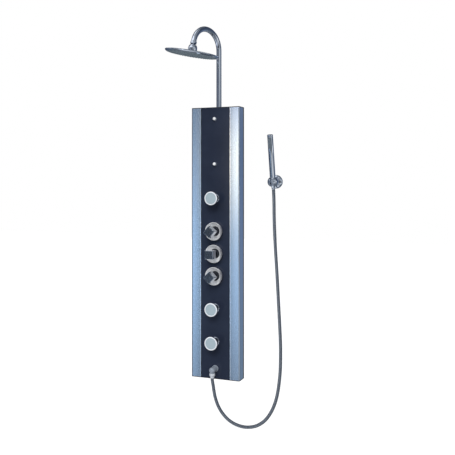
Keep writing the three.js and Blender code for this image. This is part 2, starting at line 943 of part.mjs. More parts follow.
// A ball with its top and bottom cut flat, a tapered bore and a slot down its front, on a short boss.
function holderCradle() {
  const slot = hoseRadius + 0.8;
  const mouthRadius = handsetRadius + 1.3;
  const side = arc(0, 0, cradleRadius, -55, 48, 12);
  const ball = leaned(turned([[0, side[0][1]], ...side, [0, side.at(-1)[1]]], mediumSides));
  const boss = turnedOut(rod(10, stemFront + gap, cradleDepth - 10), holderX, holderHeight);
  const bore = leaned(
    turned(
      [
        [0, -30],
        [coneLowRadius + gap, -30],
        [coneLowRadius + gap, -coneHalf],
        [coneTopRadius + gap, coneHalf],
        [mouthRadius, coneHalf + 2.3],
        [mouthRadius, 30],
        [0, 30],
      ],
      mediumSides,
    ),
  );
  const mouth = leaned(new THREE.BoxGeometry(slot * 2, 40, 80).translate(0, -20, 0));
  return cut(join(ball, boss), bore, mouth);
}

function hoseCone() {
  const profile = [
    [0, -36],
    [7.8, -36],
    [8.4, -35],
    [8.8, -26],
    [coneLowRadius, -24],
    [coneLowRadius, -coneHalf],
    [coneTopRadius, coneHalf],
    [0, coneHalf],
  ];
  return leaned(turned(profile));
}

const handsetTop = 221;
const capHeight = 8;
const facePocket = { halfWidth: 8, low: 159, high: 209, floor: 8.6 };

function handsetBody() {
  const profile = [
    [0, coneHalf + gap],
    [10.5, coneHalf + gap],
    [11.7, coneHalf + 2],
    [handsetRadius, coneHalf + 8],
    [handsetRadius, handsetTop - capHeight - gap],
    [0, handsetTop - capHeight - gap],
  ];
  const { halfWidth, low, high, floor } = facePocket;
  const pocket = new THREE.BoxGeometry(halfWidth * 2 + gap * 2, 20, high - low + gap * 2);
  pocket.translate(0, -floor - 10, (low + high) / 2);
  const waterway = turned(rod(6, coneHalf, high - 5), hiddenSides);
  return leaned(cut(turned(profile, mediumSides), pocket, waterway));
}

function handsetFace() {
  const { halfWidth, low, high, floor } = facePocket;
  const outline = shapeOf([
    ...arc(halfWidth - 4, high - 4, 4, 0, 90, 3),
    ...arc(4 - halfWidth, high - 4, 4, 90, 180, 3),
    ...arc(4 - halfWidth, low + 4, 4, 180, 270, 3),
    ...arc(halfWidth - 4, low + 4, 4, 270, 360, 3),
  ]);
  const plate = new THREE.ExtrudeGeometry(outline, { depth: 6, bevelEnabled: false });
  return leaned(plate.rotateX(Math.PI / 2).translate(0, -floor - gap, 0));
}

function handsetCap() {
  const profile = [
    [0, handsetTop - capHeight],
    [handsetRadius, handsetTop - capHeight],
    [handsetRadius, handsetTop - 2],
    [handsetRadius - 2, handsetTop],
    [0, handsetTop],
  ];
  return leaned(turned(profile, mediumSides));
}

addNode("holder_base", holderBase(), chrome());
addNode("holder_cradle", holderCradle(), chrome());
addNode("hose_cone", hoseCone(), chrome());
addNode("handset_body", handsetBody(), chrome());
addNode("handset_face", handsetFace(), greyPlastic());
addNode("handset_cap", handsetCap(), chrome());

export default group;
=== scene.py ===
import json
import math

import bmesh
import bpy
from mathutils import Matrix, Vector


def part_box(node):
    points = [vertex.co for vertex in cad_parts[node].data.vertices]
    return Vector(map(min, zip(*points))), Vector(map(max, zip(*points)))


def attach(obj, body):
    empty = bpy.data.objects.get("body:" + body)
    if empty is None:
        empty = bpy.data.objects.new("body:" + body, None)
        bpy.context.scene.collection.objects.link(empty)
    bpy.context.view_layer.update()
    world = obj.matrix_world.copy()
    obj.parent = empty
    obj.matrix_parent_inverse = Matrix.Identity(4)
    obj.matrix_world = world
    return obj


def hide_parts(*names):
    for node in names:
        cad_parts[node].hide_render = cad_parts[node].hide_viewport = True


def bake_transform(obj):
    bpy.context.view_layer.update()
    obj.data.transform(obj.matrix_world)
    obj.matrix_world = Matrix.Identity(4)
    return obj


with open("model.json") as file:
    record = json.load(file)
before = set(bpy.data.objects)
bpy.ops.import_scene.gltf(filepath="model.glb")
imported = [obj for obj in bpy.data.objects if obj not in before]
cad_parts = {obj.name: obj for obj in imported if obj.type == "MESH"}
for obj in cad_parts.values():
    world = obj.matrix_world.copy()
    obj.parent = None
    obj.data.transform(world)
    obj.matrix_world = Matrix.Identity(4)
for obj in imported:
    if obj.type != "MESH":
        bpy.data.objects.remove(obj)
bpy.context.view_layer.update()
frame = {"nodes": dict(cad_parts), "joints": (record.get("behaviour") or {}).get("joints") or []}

MM = 0.001
GAP = 0.3  # mm between pieces that meet

# ---------- Places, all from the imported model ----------
joints = {j["name"]: j for j in frame["joints"]}


def middle(node):
    low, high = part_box(node)
    return (low + high) / 2


def joint_point(name):
    return Vector(joints[name]["pos_m"])


def joint_axis(name):
    return Vector(joints[name]["axis"]).normalized()


panel_low, panel_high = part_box("front_plate")
panel_mid = (panel_low.z + panel_high.z) / 2
ball_centre = joint_point("head_spin")
arm_up = joint_axis("head_spin")
head_axis = Vector((0.178, -0.018, 1)).normalized()
BALL_ABOVE_RIM = 26.5
rim_centre = ball_centre - head_axis * BALL_ABOVE_RIM * MM
lean_axis = joint_axis("handset_lift")
cradle_centre = joint_point("handset_turn")
OUT = Vector((0, -1, 0))
UP = Vector((0, 0, 1))

# ---------- Camera ----------
camera_data = bpy.data.cameras.new("camera")
camera = bpy.data.objects.new("camera", camera_data)
bpy.context.scene.collection.objects.link(camera)
bpy.context.scene.camera = camera
camera_data.sensor_width = 36.0
camera_data.lens = 54.84
camera_data.shift_y = -0.0995
camera_data.clip_end = 60.0
camera.location = (1.2702, -3.1258, panel_mid + 0.29095)
camera.rotation_euler = (math.radians(90), 0, math.radians(21.504))


# ---------- Materials ----------
def node(tree, kind, **values):
    made = tree.nodes.new(kind)
    for key, value in values.items():
        if key.startswith("in_"):
            made.inputs[key[3:].replace("_", " ")].default_value = value
        else:
            setattr(made, key, value)
    return made


def surface(name, colour, metallic, rough, stretch=(60, 60, 60), detail=4.0,
            tint=0.06, bump=0.02, bump_scale=None, coat=0.0, specular=0.5):
    """A procedural surface: fine variation of colour, roughness and height."""
    made = bpy.data.materials.new(name)
    made.use_nodes = True
    tree = made.node_tree
    shader = tree.nodes["Principled BSDF"]
    shader.inputs["Metallic"].default_value = metallic
    shader.inputs["Specular IOR Level"].default_value = specular
    shader.inputs["Coat Weight"].default_value = coat
    shader.inputs["Coat Roughness"].default_value = 0.03
    place = node(tree, "ShaderNodeTexCoord")
    spread = node(tree, "ShaderNodeMapping")
    spread.inputs["Scale"].default_value = stretch
    tree.links.new(place.outputs["Object"], spread.inputs["Vector"])
    grain = node(tree, "ShaderNodeTexNoise", in_Scale=1.0, in_Detail=detail, in_Roughness=0.6)
    tree.links.new(spread.outputs["Vector"], grain.inputs["Vector"])
    shades = node(tree, "ShaderNodeValToRGB")
    shades.color_ramp.elements[0].position = 0.3
    shades.color_ramp.elements[1].position = 0.7
    shades.color_ramp.elements[0].color = (*[c * (1 - tint) for c in colour], 1)
    shades.color_ramp.elements[1].color = (*[min(1, c * (1 + tint)) for c in colour], 1)
    tree.links.new(grain.outputs["Fac"], shades.inputs["Fac"])
    tree.links.new(shades.outputs["Color"], shader.inputs["Base Color"])
    gloss = node(tree, "ShaderNodeMapRange")
    gloss.inputs["From Min"].default_value = 0.3
    gloss.inputs["From Max"].default_value = 0.7
    gloss.inputs["To Min"].default_value = rough[0]
    gloss.inputs["To Max"].default_value = rough[1]
    tree.links.new(grain.outputs["Fac"], gloss.inputs["Value"])
    tree.links.new(gloss.outputs["Result"], shader.inputs["Roughness"])
    if bump:
        height = node(tree, "ShaderNodeBump", in_Strength=bump, in_Distance=0.0005)
        source = grain
        if bump_scale:
            source = node(tree, "ShaderNodeTexNoise", in_Scale=bump_scale, in_Detail=3.0)
            tree.links.new(place.outputs["Object"], source.inputs["Vector"])
        tree.links.new(source.outputs["Fac"], height.inputs["Height"])
        tree.links.new(height.outputs["Normal"], shader.inputs["Normal"])
    return made


def paint_light_zone(made, along, start, end, colour):
    """Paints light or shade into the base colour: blends it over to another one between two places in metres.

    along is x, y or z, or width for the distance from the middle plane."""
    tree = made.node_tree
    shader = tree.nodes["Principled BSDF"]
    paint = shader.inputs["Base Color"].links[0].from_socket
    place = node(tree, "ShaderNodeTexCoord")
    parts = node(tree, "ShaderNodeSeparateXYZ")
    tree.links.new(place.outputs["Object"], parts.inputs[0])
    source = parts.outputs["X" if along == "width" else along.upper()]
    if along == "width":
        away = node(tree, "ShaderNodeMath", operation="ABSOLUTE")
        tree.links.new(source, away.inputs[0])
        source = away.outputs[0]
    share = node(tree, "ShaderNodeMapRange")
    share.inputs["From Min"].default_value = start
    share.inputs["From Max"].default_value = end
    tree.links.new(source, share.inputs["Value"])
    mixed = node(tree, "ShaderNodeMix", data_type="RGBA")
    mixed.inputs[7].default_value = (*colour, 1)
    tree.links.new(share.outputs["Result"], mixed.inputs[0])
    tree.links.new(paint, mixed.inputs[6])
    tree.links.new(mixed.outputs[2], shader.inputs["Base Color"])


MATERIALS = {
    "chrome": surface("chrome", (0.76, 0.79, 0.84), 1.0, (0.05, 0.09), (14, 14, 14), bump=0.01),
    "brushed_aluminium": surface("brushed_aluminium", (0.74, 0.82, 0.90), 1.0, (0.17, 0.24),
                                 (900, 900, 3), tint=0.04, bump=0.02),
    "black_glass": surface("black_glass", (0.021, 0.028, 0.050), 0.0, (0.06, 0.10), (9, 9, 9),
                           tint=0.1, bump=0.004),
    "dark_plastic": surface("dark_plastic", (0.02, 0.022, 0.03), 0.0, (0.4, 0.55), (300, 300, 300),
                            bump=0.15, bump_scale=1500.0),
    "satin_chrome": surface("satin_chrome", (0.96, 0.965, 0.98), 0.2, (0.28, 0.4), (80, 80, 80),
                            tint=0.03, bump=0.02),
    "grey_plastic": surface("grey_plastic", (0.10, 0.125, 0.155), 0.0, (0.4, 0.55), (260, 260, 260),
                            bump=0.08, bump_scale=1700.0),
    "zinc_steel": surface("zinc_steel", (0.55, 0.57, 0.6), 1.0, (0.32, 0.5), (120, 120, 120),
                          tint=0.12, bump=0.05),
    "brass": surface("brass", (0.66, 0.5, 0.26), 1.0, (0.28, 0.42), (200, 200, 200), bump=0.05),
    "plated_pipe": surface("plated_pipe", (0.66, 0.67, 0.68), 1.0, (0.2, 0.3), (90, 90, 90), bump=0.03),
    "nozzle_plastic": surface("nozzle_plastic", (0.39, 0.48, 0.53), 0.0, (0.4, 0.55), (220, 220, 220),
                              bump=0.08, bump_scale=1800.0),
    "nylon": surface("nylon", (0.80, 0.83, 0.88), 0.0, (0.45, 0.6), (300, 300, 300), bump=0.05),
    "hose_steel": surface("hose_steel", (0.33, 0.35, 0.38), 1.0, (0.22, 0.36), (400, 400, 400),
                          tint=0.15, bump=0.03),
}


# Painted light and shade: a painted highlight along the profiles' inner bead, painted shade on their rear
# edges and on the left profile's outer edge, and a painted shade border, near black, along the plate's long
# edges
brushed = MATERIALS["brushed_aluminium"]
paint_light_zone(brushed, "width", 78.9 * MM, 78.4 * MM, (0.97, 0.98, 1.0))
paint_light_zone(brushed, "y", -15 * MM, -11 * MM, (0.01, 0.012, 0.02))
paint_light_zone(brushed, "x", -117.8 * MM, -120.5 * MM, (0.10, 0.13, 0.20))
paint_light_zone(MATERIALS["black_glass"], "width", 69.5 * MM, 71.5 * MM, (0.001, 0.001, 0.003))
# Painted shade: the outlet is darker than the studs; painted highlight: the hose nut is lighter than the
# outlet; painted shade: the bowls are darker on their right
satin = MATERIALS["satin_chrome"]
paint_light_zone(satin, "z", panel_mid - 565 * MM, panel_mid - 570 * MM, (0.30, 0.34, 0.40))
paint_light_zone(satin, "z", panel_mid - 613.9 * MM, panel_mid - 614.1 * MM, (0.66, 0.69, 0.74))
# Painted shade: the cartridges' front ends, inside the bowls' recess, are darkened
paint_light_zone(MATERIALS["brass"], "y", -64 * MM, -68 * MM, (0.03, 0.03, 0.035))
# Painted shade: the bowls are darker on their right
paint_light_zone(satin, "x", 27 * MM, 35 * MM, (0.34, 0.34, 0.37))


# ---------- Mesh helpers ----------
def finished(name, verts, faces, slot, smooth_angle=32.0):
    """A mesh object with outward normals, smooth shading and its material."""
    mesh = bpy.data.meshes.new(name)
    mesh.from_pydata(verts, [], faces)
    work = bmesh.new()
    work.from_mesh(mesh)
    bmesh.ops.remove_doubles(work, verts=work.verts, dist=1e-7)
    bmesh.ops.recalc_face_normals(work, faces=work.faces)
    work.to_mesh(mesh)
    work.free()
    mesh.shade_smooth()
    mesh.set_sharp_from_angle(angle=math.radians(smooth_angle))
    mesh.materials.append(MATERIALS[slot])
    made = bpy.data.objects.new(name, mesh)
    bpy.context.scene.collection.objects.link(made)
    return made


def soften(obj, width, segments=2, angle=35.0):
    """Small rounded edges."""
    rounding = obj.modifiers.new("edges", "BEVEL")
    rounding.width = width * MM
    rounding.segments = segments
    rounding.limit_method = "ANGLE"
    rounding.angle_limit = math.radians(angle)
    rounding.harden_normals = True
    return obj


def basis(axis):
    """Two directions square to an axis."""
    helper = Vector((1, 0, 0)) if abs(axis.x) < 0.8 else UP
    side = (helper - axis * helper.dot(axis)).normalized()
    return side, axis.cross(side)


def turned(name, profile, origin, axis, slot, sides=64, start=0.0, sweep=360.0, smooth_angle=32.0):
    """A profile of (radius, height) pairs in mm, turned about an axis.

    The profile closes on itself or starts and ends on the axis."""
    side, other = basis(axis)
    looped = profile[0] == profile[-1]
    rows = profile[:-1] if looped else profile
    whole = sweep >= 360.0
    count = sides if whole else sides + 1
    verts, index = [], []
    for radius, height in rows:
        row = []
        for i in range(count):
            if radius <= 1e-6 and row:
                row.append(row[0])
                continue
            angle = math.radians(start + sweep * i / sides)
            spot = side * math.cos(angle) + other * math.sin(angle)
            row.append(len(verts))
            verts.append(origin + (axis * height + spot * radius) * MM)
        index.append(row)
    pairs = list(zip(index, index[1:])) + ([(index[-1], index[0])] if looped else [])
    faces = []
    for lower, upper in pairs:
        for i in range(sides):
            j = (i + 1) % count
            corners = [lower[i], lower[j], upper[j], upper[i]]
            corners = [c for k, c in enumerate(corners) if c not in corners[:k]]
            if len(corners) > 2:
                faces.append(corners)
    if not whole:
        faces.append([row[0] for row in index])
        faces.append([row[-1] for row in reversed(index)])
    return finished(name, verts, faces, slot, smooth_angle)


def bow(centre_r, centre_h, radius, first, last, steps):
    """Points of an arc in a profile, in degrees."""
    turn = [math.radians(first + (last - first) * i / steps) for i in range(steps + 1)]
    return [(centre_r + radius * math.cos(a), centre_h + radius * math.sin(a)) for a in turn]


def piece(obj, body, *nodes):
    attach(obj, body)
    if nodes:
        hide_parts(*nodes)
    return obj


def spread_points(points, step):
    """A smooth line through the points, sampled at an even step."""
    pts = [points[0] * 2 - points[1], *points, points[-1] * 2 - points[-2]]
    fine = []
    for p0, p1, p2, p3 in zip(pts, pts[1:], pts[2:], pts[3:]):
        t0, t1 = 0.0, math.sqrt((p1 - p0).length)
        t2 = t1 + math.sqrt((p2 - p1).length)
        t3 = t2 + math.sqrt((p3 - p2).length)
        for i in range(24):
            t = t1 + (t2 - t1) * i / 24
            a1 = p0 * ((t1 - t) / (t1 - t0)) + p1 * ((t - t0) / (t1 - t0))
            a2 = p1 * ((t2 - t) / (t2 - t1)) + p2 * ((t - t1) / (t2 - t1))
            a3 = p2 * ((t3 - t) / (t3 - t2)) + p3 * ((t - t2) / (t3 - t2))
            b1 = a1 * ((t2 - t) / (t2 - t0)) + a2 * ((t - t0) / (t2 - t0))
            b2 = a2 * ((t3 - t) / (t3 - t1)) + a3 * ((t - t1) / (t3 - t1))
            fine.append(b1 * ((t2 - t) / (t2 - t1)) + b2 * ((t - t1) / (t2 - t1)))
    fine.append(points[-1].copy())
    total = sum((b - a).length for a, b in zip(fine, fine[1:]))
    count = max(2, round(total / step))
    even, walked, k = [fine[0]], 0.0, 0
    for n in range(1, count):
        target = total * n / count
        while walked + (fine[k + 1] - fine[k]).length < target:
            walked += (fine[k + 1] - fine[k]).length
            k += 1
        part = (target - walked) / (fine[k + 1] - fine[k]).length
        even.append(fine[k].lerp(fine[k + 1], part))
    even.append(fine[-1])
    return even, total


def tube(name, line, radius_at, slot, sides=24, smooth_angle=50.0):
    """A tube along close points; radius_at(distance, angle) is in metres."""
    verts, faces = [], []
    ahead = (line[1] - line[0]).normalized()
    side, _ = basis(ahead)
    walked = 0.0
    for n, point in enumerate(line):
        before = line[max(0, n - 1)]
        after = line[min(len(line) - 1, n + 1)]
        ahead = (after - before).normalized()
        side = (side - ahead * side.dot(ahead)).normalized()
        other = ahead.cross(side)
        if n:
            walked += (point - before).length
        for i in range(sides):
            angle = 2 * math.pi * i / sides
            reach = radius_at(walked, angle)
            verts.append(point + (side * math.cos(angle) + other * math.sin(angle)) * reach)
    for n in range(len(line) - 1):
        for i in range(sides):
            j = (i + 1) % sides
            faces.append([n * sides + i, n * sides + j, (n + 1) * sides + j, (n + 1) * sides + i])
    faces.append(list(range(sides)))
    faces.append([len(verts) - sides + i for i in range(sides)])
    return finished(name, verts, faces, slot, smooth_angle)


# ---------- The hose first ----------
HOSE_ROUTE = [
    (0, 99, -636), (0, 99, -644), (2, 99, -656), (5.2, 98.5, -674), (8.4, 98, -696), (15, 97, -728),
    (30, 95, -768), (54, 93, -803), (86, 92, -830), (128, 90, -847), (172, 89, -850),
    (217, 87, -838.5), (256, 85, -811), (287, 84, -768), (306.5, 82, -722), (318, 80, -675),
    (324.5, 79, -630), (329, 77, -577), (330, 75, -520), (329, 72, -456), (325.2, 69, -389),
    (316.8, 62, -275), (306.7, 54, -138), (295.4, 46, 0), (288.1, 39, 125), (286.5, 36.5, 190),
    (286, 38, 223), (286, 40.86, 244.04), (286, 43.6, 257.26),
]
HOSE_PITCH = 3.6 * MM
hose_points = [Vector((x * MM, -d * MM, panel_mid + h * MM)) for x, d, h in HOSE_ROUTE]
hose_line, hose_length = spread_points(hose_points, HOSE_PITCH / 5)


def hose_radius(distance, angle):
    wave = math.cos(2 * math.pi * distance / HOSE_PITCH - angle)
    return (7.5 + 0.45 * wave) * MM


hose = tube("hose", hose_line, hose_radius, "hose_steel", sides=18)
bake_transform(hose)
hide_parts("shower_hose")

# ---------- Panel shell ----------
PANEL_DEPTH = 62.0
CORNER = 5.0
WALL = 2.5


def profile_section(side):
    outer = 124.0
    inner = 74.3
    ledge = 56.9
    corner = outer - CORNER
    points = [(outer, 0.0)]
    points += bow(corner, -(PANEL_DEPTH - CORNER), CORNER, 0, -90, 14)
    points += [(inner + 5.1, -PANEL_DEPTH), (inner + 5.1, -PANEL_DEPTH + 0.8),
               (inner + 4.1, -PANEL_DEPTH + 0.8), (inner + 4.1, -PANEL_DEPTH + 0.12),
               (inner, -PANEL_DEPTH), (inner, -ledge), (62.0, -ledge), (62.0, -ledge + WALL),
               (inner + WALL, -ledge + WALL), (inner + WALL, -PANEL_DEPTH + WALL)]
    points += bow(corner, -(PANEL_DEPTH - CORNER), CORNER - WALL, -90, 0, 14)
    points += [(outer - WALL, -WALL), (100.0, -WALL), (100.0, 0.0)]
    return [(x * side, y) for x, y in points]


def side_profile(name, side):
    low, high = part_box(name)
    section = profile_section(side)
    count = len(section)
    verts = [Vector((x * MM, y * MM, z)) for z in (low.z, high.z) for x, y in section]
    faces = [[i, (i + 1) % count, count + (i + 1) % count, count + i] for i in range(count)]
    faces += [list(range(count)), list(range(count, 2 * count))]
    made = finished(name + "_skin", verts, faces, "brushed_aluminium", 25.0)
    soften(made, 0.35)
    return piece(made, "root", name)


side_profile("left_profile", -1)
side_profile("right_profile", 1)

# ---------- Studs ----------
plate_front = -panel_low.y / MM
for place in ("upper", "lower"):
    stud = "stud_" + place
    back = plate_front + GAP
    spot = Vector((0, 0, middle(stud).z))
    profile = [(0, back - 17), (3, back - 17), (3, back), (8.5, back), (8.5, back + 0.9), (8.0, back + 1.5),
               (7.6, back + 1.9), (7.5, back + 3)]
    profile += [(7.5, back + 10.2), (7.1, back + 10.7), (0, back + 10.7)]
    piece(turned(stud + "_base", profile, spot, OUT, "chrome"), "root")
    profile = [(0, back + 11), (6.9, back + 11), (7.5, back + 11.4), (7.5, back + 12)]
    profile += bow(3.5, back + 12, 4, 0, 90, 9)[1:] + [(0, back + 16)]
    piece(turned(stud + "_cap", profile, spot, OUT, "satin_chrome"), "root", stud)

# ---------- Valves ----------
VALVE_TURNS = (40.0, 0.0, 45.0)
ESCUTCHEON = 43.0
BOWL_WIDTH = 19.5
BOWL_HEIGHT = 24.5
BOWL_FOOT = 36.5
GRIP = 40.0
GRIP_BACK, GRIP_FRONT = 105.0, 144.0
GRIP_PLATE = 3.0  # thickness of the grip's front


def escutcheon(number):
    """A flared bowl, open to the front, round a dark floor with a low collar; the floor's dark plastic is
    painted shade for the bowl's shaded recess.
    """
    spot = Vector((0, 0, middle(f"escutcheon_{number}").z))
    back = plate_front + GAP
    rim = back + BOWL_HEIGHT
    r = ESCUTCHEON
    well = r - BOWL_WIDTH
    bowl = [(BOWL_FOOT, back), (BOWL_FOOT + 0.3, back + 1.8), (BOWL_FOOT + 1, back + 4),
            (r - 1, rim - 3.5), (r - 0.2, rim - 1.8), (r, rim - 1.2), (r - 0.2, rim - 0.5), (r - 0.8, rim)]
    bowl += bow(r - 53.65, back + 52.96, 59.3, -29.0, -54.8, 16)
    bowl += [(well, back + 2.3), (well + 3.5, back + 2.3), (r - 3.4, rim - 7.5), (BOWL_FOOT - 2.2, back),
             (BOWL_FOOT, back)]
    made = turned(f"escutcheon_{number}_bowl", bowl, spot, OUT, "satin_chrome", sides=96)
    piece(made, "root", f"escutcheon_{number}")
    # Painted shade: the bowl's floor is dark plastic, standing in for the shade in the recess
    disc = [(well - 0.1, back + 4.2), (well - 0.4, back + 4.5), (18.2, back + 4.5), (17.6, back + 4.8),
            (17.4, back + 5.4), (17.4, back + 11.6), (17, back + 12), (13.8, back + 12), (13.4, back + 11.6),
            (13.4, back + 2.4), (well - 0.1, back + 2.4), (well - 0.1, back + 4.2)]
    piece(turned(f"escutcheon_{number}_floor", disc, spot, OUT, "dark_plastic", sides=96), "root")


def grip_block(name, spot, degrees, back, front, rounding):
    """A square block of the handle's grip, turned about the valve's axis."""
    half = GRIP / 2
    turn = Matrix.Rotation(math.radians(degrees), 3, "Y")
    verts = [spot + turn @ Vector((x * half, -depth, z * half)) * MM
             for depth in (back, front) for x, z in ((-1, -1), (1, -1), (1, 1), (-1, 1))]
    faces = [(0, 1, 2, 3), (4, 5, 6, 7)] + [(i, (i + 1) % 4, 4 + (i + 1) % 4, 4 + i) for i in range(4)]
    return soften(finished(name, verts, faces, "chrome"), rounding, segments=4)


def handle(number):
    name = f"handle_{number}"
    spot = Vector((0, 0, joint_point(name + "_turn").z))
    stem = [(0, 76), (11.0, 75), (11.5, 75.6), (11.5, 99), (12.2, 100.5), (14.5, 102.5), (15.5, 104.5),
            (15.5, 106), (0, 106)]
    piece(turned(name + "_stem", stem, spot, OUT, "chrome", sides=64), name, name)
    turn = VALVE_TURNS[number - 1]
    piece(grip_block(name + "_grip", spot, turn, GRIP_BACK, GRIP_FRONT - GRIP_PLATE - 0.2, 1.4), name)
    piece(grip_block(name + "_front", spot, turn, GRIP_FRONT - GRIP_PLATE, GRIP_FRONT, 1.2), name)


# ---------- Body jets ----------
JET_BALL = 80.0


def ring_feet(rings, height_at, origin, axis):
    """Places on rings of (radius, count), in mm, round an axis."""
    side, other = basis(axis)
    feet = []
    for radius, count in rings:
        for n in range(count):
            angle = 2 * math.pi * (n + 0.5 * (count % 2)) / count
            out = (side * math.cos(angle) + other * math.sin(angle)) * radius
            feet.append(origin + (out + axis * height_at(radius)) * MM)
    return feet


def nozzle_field(name, feet, axis, slot, base, tip, tall, sides=10):
    """Small round nozzles standing at their feet, along the axis."""
    side, other = basis(axis)
    verts, faces = [], []
    for foot in feet:
        shape = [(base, -0.3), (base * 0.96, tall * 0.35), (tip, tall), (tip * 0.45, tall),
                 (tip * 0.4, tall - 0.5)]
        first = len(verts)
        for r, h in shape:
            for i in range(sides):
                a = 2 * math.pi * i / sides
                verts.append(foot + (axis * h + (side * math.cos(a) + other * math.sin(a)) * r) * MM)
        for k in range(len(shape) - 1):
            for i in range(sides):
                j = (i + 1) % sides
                faces.append([first + k * sides + i, first + k * sides + j,
                              first + (k + 1) * sides + j, first + (k + 1) * sides + i])
        faces.append([first + i for i in range(sides)])
        faces.append([first + (len(shape) - 1) * sides + i for i in range(sides)])
    return finished(name, verts, faces, slot, 40.0)


def body_jet(number):
    spot = Vector((0, 0, joint_point(f"jet_{number}_spin").z))
    face = plate_front + GAP
    socket = [(0, 34), (12.4, 34), (13, 34.6), (13, face), (21, face), (21, face + 1.8),
              (20.6, face + 2.8), (19.5, face + 3.6), (17.5, face + 4.0), (16.5, face + 4.4),
              (16, face + 5.2), (16, 79.4), (15.6, 80)]
    socket += bow(0, JET_BALL, 12.3, 0, -70, 12)
    socket += [(4, 40), (0, 40)]
    piece(turned(f"jet_{number}_cup", socket, spot, OUT, "chrome"), "root", f"jet_socket_{number}")
    lip = 10.8
    lip_angle = math.degrees(math.acos(lip / 12.4))
    ring = [(16.4, 66.6), (18.6, 66.6), (19, 67), (19, 70.5), (18.5, 71), (18.5, 72), (19, 72.5), (19, 83.6)]
    ring += bow(15.4, 84.8, 3.6, 0, 80, 6) + [(15, 88.8), (lip + 0.5, 88.8), (lip, 88.3)]
    ring += bow(0, JET_BALL, 12.4, lip_angle, 2, 8) + [(16.4, 80.4), (16.4, 66.6)]
    collar = turned(f"jet_{number}_collar", ring, spot, OUT, "dark_plastic")
    piece(collar, f"jet_ring_{number}", f"jet_ring_{number}")
    neck = 6.0
    head = bow(0, JET_BALL, 12, -90, math.degrees(math.acos(neck / 12)), 20)
    head += [(neck, 94), (6.4, 97), (8.0, 99.6), (11, 101.6), (18, 103.6), (26, 105.3), (30.2, 106.6),
             (31.6, 107.8), (32, 109.4), (32, 115.6), (31.6, 116.2), (31, 116.4), (0, 116.4)]
    piece(turned(f"jet_{number}_bell", head, spot, OUT, "chrome", sides=80), f"jet_head_{number}",
          f"jet_head_{number}")
    disc = [(0, 116.6), (26.3, 116.6), (26.3, 118.1), (25.8, 118.5), (20, 118.7), (0, 118.9)]
    piece(turned(f"jet_{number}_disc", disc, spot, OUT, "nozzle_plastic", sides=80), f"jet_head_{number}",
          f"jet_face_{number}")
    band = [(26.5, 116.6), (31.2, 116.6), (31.8, 116.9), (32, 117.4), (31.9, 118.0), (31.4, 118.7),
            (30.4, 119.3), (29, 119.7), (28, 119.8), (27.2, 119.6), (26.7, 119.1), (26.5, 118.6),
            (26.5, 116.6)]
    piece(turned(f"jet_{number}_surround", band, spot, OUT, "nylon", sides=80), f"jet_head_{number}")
    rings = [(0.0, 1), (6.0, 6), (12.0, 12), (18.0, 18), (23.4, 24)]
    feet = ring_feet(rings, lambda r: 118.5, spot, OUT)
    pips = nozzle_field(f"jet_{number}_nozzles", feet, OUT, "nozzle_plastic", 1.3, 0.95, 1.0)
    piece(pips, f"jet_head_{number}")


for number in (1, 2, 3):
    escutcheon(number)
    handle(number)
    body_jet(number)

# ---------- Hose outlet ----------
OUTLET_DEPTH = 99.0
OUTLET_FRONT = 114.0
FLANGE = 16.0
outlet_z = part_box("outlet_elbow")[1].z - FLANGE * MM
port_end = (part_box("hose_nut_lower")[1].z - panel_mid) / MM + GAP
ferrule_end = (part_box("hose_nut_lower")[0].z - panel_mid) / MM
face = plate_front + GAP
elbow = [(0, 34), (13, 34), (13, face), (FLANGE, face), (FLANGE, face + 2.2), (15.7, face + 3),
         (15, face + 3.6), (14.2, face + 4.4), (14, face + 5.4), (14, 101.5)]
elbow += bow(0, 101.5, 14, 5, 60, 9)
elbow = [(r, min(h, OUTLET_FRONT)) for r, h in elbow] + [(3.5, OUTLET_FRONT), (0, OUTLET_FRONT)]
outlet = turned("outlet_body", elbow, Vector((0, 0, outlet_z)), OUT, "satin_chrome", sides=72)
piece(outlet, "root", "outlet_elbow")
outlet_axis = Vector((0, -OUTLET_DEPTH * MM, panel_mid))
port = [(0, port_end), (11.0, port_end), (11.5, port_end + 0.5), (11.5, -600), (0, -600)]
piece(turned("outlet_port", port, outlet_axis, UP, "satin_chrome"), "root")
nut = [(0, port_end - 0.3), (12.6, port_end - 0.3), (13.8, port_end - 1.4), (13.8, port_end - 3.4),
       (13.3, port_end - 3.8), (13.3, port_end - 4.4), (13.8, port_end - 4.8), (13.8, port_end - 10),
       (13.2, port_end - 11.4), (11.8, port_end - 12.4), (10.9, port_end - 13.2), (10.1, port_end - 16),
       (9.6, ferrule_end + 3), (9.4, ferrule_end + 0.5), (9, ferrule_end), (0, ferrule_end)]
piece(turned("outlet_nut", nut, outlet_axis, UP, "satin_chrome"), "root", "hose_nut_lower")

# ---------- Riser arm ----------
ARM_BOTTOM, BEND_START = 622.0, 927.0
BEND_RADIUS, BEND_TURN = 90.0, math.radians(168)
ARM_SWING = math.radians(19)
RISER_DEPTH = 15.0
RISER_RADIUS = 12.5


def arm_point(turn):
    reach = BEND_RADIUS * (1 - math.cos(turn))
    return Vector((-reach * math.sin(ARM_SWING) * MM, -(RISER_DEPTH + reach * math.cos(ARM_SWING)) * MM,
                   panel_mid + (BEND_START + BEND_RADIUS * math.sin(turn)) * MM))


